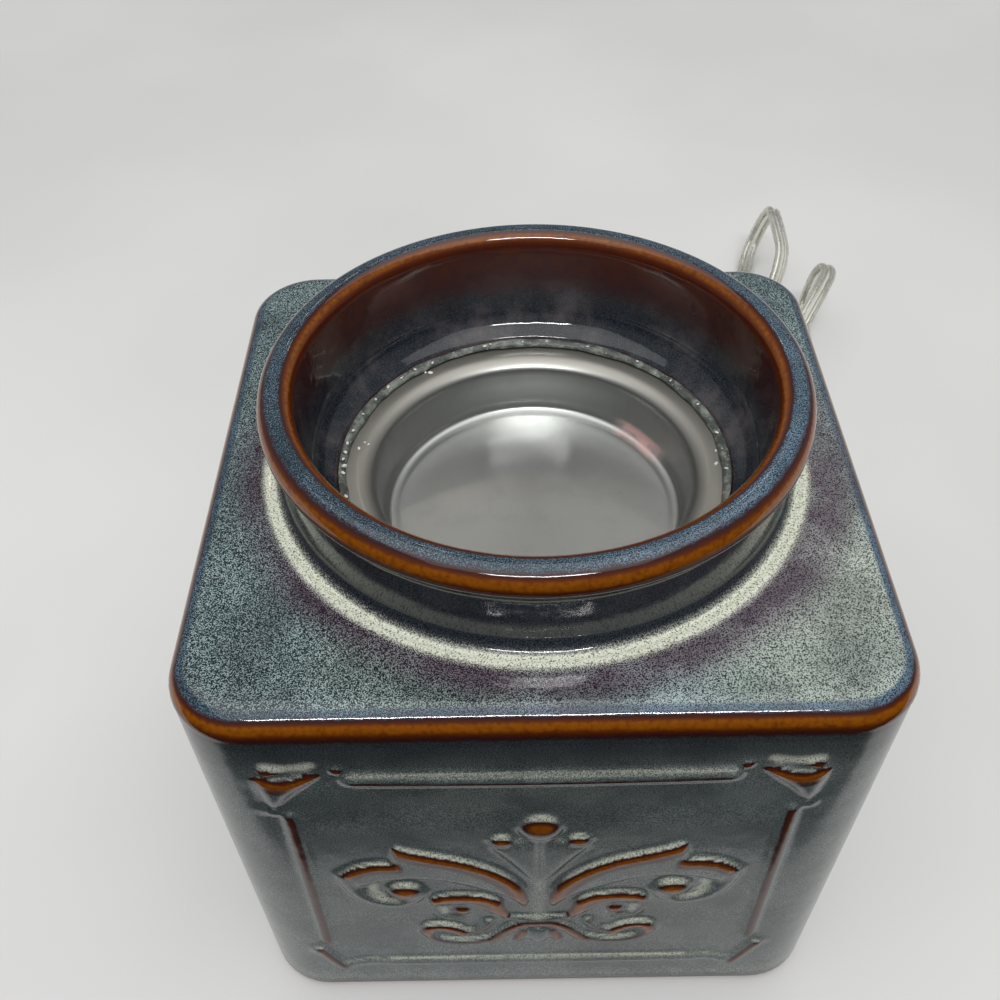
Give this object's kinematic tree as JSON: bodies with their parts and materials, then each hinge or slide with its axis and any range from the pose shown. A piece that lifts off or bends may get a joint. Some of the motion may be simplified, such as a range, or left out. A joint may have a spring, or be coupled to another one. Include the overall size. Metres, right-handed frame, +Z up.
{
  "type": "electric wax warmer",
  "caption": "Electric wax warmer: square glazed ceramic body with a round collar, a heated metal pan in its well, and a clear flat cord with a rocker switch and a plug.",
  "frame": {"origin": "on the floor, below the centre of the ceramic body", "axes": "+Z up, -Y towards the front, +X to the right as seen from the front"},
  "size_m": [0.1713, 0.2836, 0.1239],
  "materials": {
    "glaze": "glossy speckled blue-grey glaze, brown on its edges",
    "aluminium": "satin spun sheet",
    "steel": "plain zinc-plated steel",
    "brass": "plain rolled strip",
    "sealant": "cured silicone",
    "mica": "matt mica board",
    "felt": "pressed white fibre",
    "black_plastic": "matt moulded",
    "white_plastic": "semi-gloss moulded",
    "rubber": "matt black",
    "clear_pvc": "clear flexible plastic",
    "wire_skin": "woven white sleeve"
  },
  "bodies": {
    "warmer": {"base_plate": "black_plastic", "base_screw_back_left": "steel", "base_screw_back_right": "steel", "base_screw_front_left": "steel", "base_screw_front_right": "steel", "ceramic_body": "glaze", "clamp_nut": "steel", "clamp_plate": "steel", "clamp_stud": "steel", "cord_coil": "clear_pvc", "cord_core_live": "wire_skin", "cord_core_neutral": "wire_skin", "cord_lead": "clear_pvc", "cord_link": "clear_pvc", "cord_tail": "clear_pvc", "cord_tie_1": "white_plastic", "cord_tie_2": "white_plastic", "corner_block_back_left": "white_plastic", "corner_block_back_right": "white_plastic", "corner_block_front_left": "white_plastic", "corner_block_front_right": "white_plastic", "crimp_connector_live": "white_plastic", "crimp_connector_neutral": "white_plastic", "fuse_sleeve": "wire_skin", "fuse_strap": "steel", "heat_shield": "aluminium", "heater_element": "mica", "heating_plate": "aluminium", "insulation_pad": "felt", "lead_fuse_to_heater": "wire_skin", "lead_live": "wire_skin", "lead_neutral": "wire_skin", "plate_seal": "sealant", "plug_blade_live": "brass", "plug_blade_neutral": "brass", "plug_body": "clear_pvc", "rubber_foot_back_left": "rubber", "rubber_foot_back_right": "rubber", "rubber_foot_front_left": "rubber", "rubber_foot_front_right": "rubber", "shield_nut": "steel", "shield_spacer": "steel", "shield_washer": "steel", "strain_relief": "clear_pvc", "switch_case_bottom": "white_plastic", "switch_case_top": "white_plastic", "switch_contact_end": "brass", "switch_contact_middle": "brass", "switch_lead_in": "wire_skin", "switch_lead_neutral": "wire_skin", "switch_lead_out": "wire_skin", "switch_screw_a": "steel", "switch_screw_b": "steel", "thermal_fuse": "white_plastic"},
    "rocker": {"switch_rocker": "black_plastic", "switch_arm": "brass"}
  },
  "joints": [
    {"name": "rocker_pivot", "type": "hinge", "parent": "warmer", "child": "rocker", "pos_m": [-0.013, 0.075, 0.0148], "axis": [0, 1, 0], "range_deg": [0, 16]}
  ]
}
